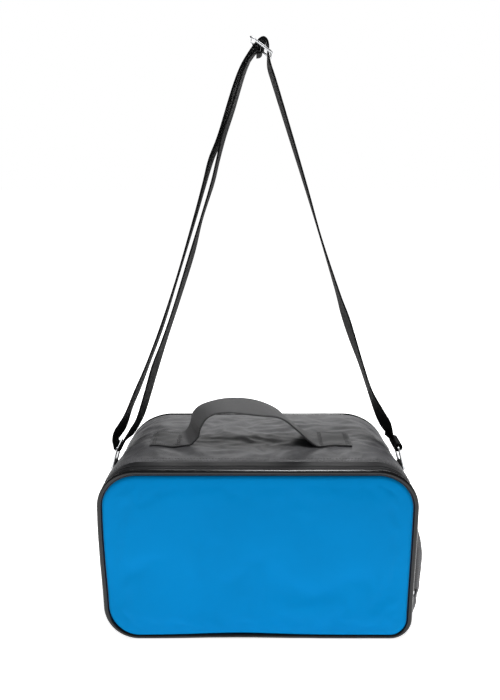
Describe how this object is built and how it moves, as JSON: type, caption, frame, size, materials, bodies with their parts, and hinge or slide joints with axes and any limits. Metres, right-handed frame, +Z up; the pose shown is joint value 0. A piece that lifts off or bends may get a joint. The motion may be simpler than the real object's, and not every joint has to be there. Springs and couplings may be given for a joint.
{
  "type": "insulated cooler bag",
  "caption": "Soft insulated cooler bag with a front that zips open and folds down, piped edges, a webbing carry handle and an adjustable shoulder strap on wire rings.",
  "frame": {"origin": "centre of the bag's base, on the surface that it stands on, midway between the front and back piping", "axes": "+Z up, +X to the right as seen from the front, +Y towards the back; the zipped front faces -Y"},
  "size_m": [0.3298, 0.165, 0.5983],
  "materials": {
    "front_fabric": "satin",
    "shell_fabric": "satin",
    "piping": "satin",
    "foam": "matte",
    "lining": "gloss",
    "binding": "matte",
    "zip_tape": "matte",
    "zip_coil": "satin",
    "webbing": "satin",
    "handle_webbing": "satin",
    "steel": "polished"
  },
  "bodies": {
    "bag": {"front_panel_lower": "front_fabric", "back_panel": "shell_fabric", "gusset_top": "shell_fabric", "gusset_left": "shell_fabric", "gusset_right": "shell_fabric", "gusset_bottom": "shell_fabric", "piping_front_lower": "piping", "piping_back": "piping", "foam_top": "foam", "foam_left": "foam", "foam_right": "foam", "foam_bottom": "foam", "foam_back": "foam", "foam_front_lower": "foam", "lining_body": "lining", "lining_back": "lining", "lining_front_lower": "lining", "binding_back": "binding", "zip_tape_body": "zip_tape", "zip_tape_ends": "zip_tape", "zip_coil_body": "zip_coil", "zip_coil_ends": "zip_coil", "zip_stops": "zip_coil", "handle_end_left": "handle_webbing", "handle_end_right": "handle_webbing", "ring_tab_left": "webbing", "ring_tab_right": "webbing", "strap_end_left": "webbing", "strap_end_right": "webbing"},
    "door": {"front_panel": "front_fabric", "piping_front": "piping", "foam_door": "foam", "lining_door": "lining", "binding_door": "binding", "zip_tape_door": "zip_tape", "zip_coil_door": "zip_coil"},
    "slider": {"zip_slider": "steel"},
    "pull": {"zip_pull": "steel"},
    "handle": {"handle_loop": "handle_webbing"},
    "ring_left": {"ring_left": "steel"},
    "ring_right": {"ring_right": "steel"},
    "strap": {"strap_right": "webbing", "strap_left": "webbing", "strap_return": "webbing", "strap_fold": "webbing"},
    "buckle": {"strap_buckle": "steel"}
  },
  "joints": [
    {"name": "door_fold", "type": "hinge", "parent": "bag", "child": "door", "pos_m": [0, -0.0825, 0.052], "axis": [1, 0, 0], "range_deg": [0, 100]},
    {"name": "zip_slide", "type": "slide", "parent": "bag", "child": "slider", "axis": [0, 0, 1], "range_m": [0, 0.1]},
    {"name": "pull_swing", "type": "hinge", "parent": "slider", "child": "pull", "pos_m": [0.1626, -0.072, 0.047], "axis": [0, -1, 0], "range_deg": [0, 150]},
    {"name": "handle_swing", "type": "hinge", "parent": "bag", "child": "handle", "pos_m": [0, -0.01, 0.194], "axis": [1, 0, 0], "range_deg": [-35, 35]},
    {"name": "ring_left_swing", "type": "hinge", "parent": "bag", "child": "ring_left", "pos_m": [-0.1628, 0.01, 0.154], "axis": [0, 1, 0], "range_deg": [-4, 1]},
    {"name": "ring_right_swing", "type": "hinge", "parent": "bag", "child": "ring_right", "pos_m": [0.1628, 0.01, 0.154], "axis": [0, 1, 0], "range_deg": [-1, 4]},
    {"name": "strap_swing", "type": "hinge", "parent": "bag", "child": "strap", "pos_m": [0, 0.01, 0.225], "axis": [1, 0, 0], "range_deg": [-100, 100]},
    {"name": "buckle_slide", "type": "slide", "parent": "strap", "child": "buckle", "axis": [-0.342, 0, -0.9397], "range_m": [0, 0.08], "deforming": ["strap_return", "strap_fold"]}
  ]
}
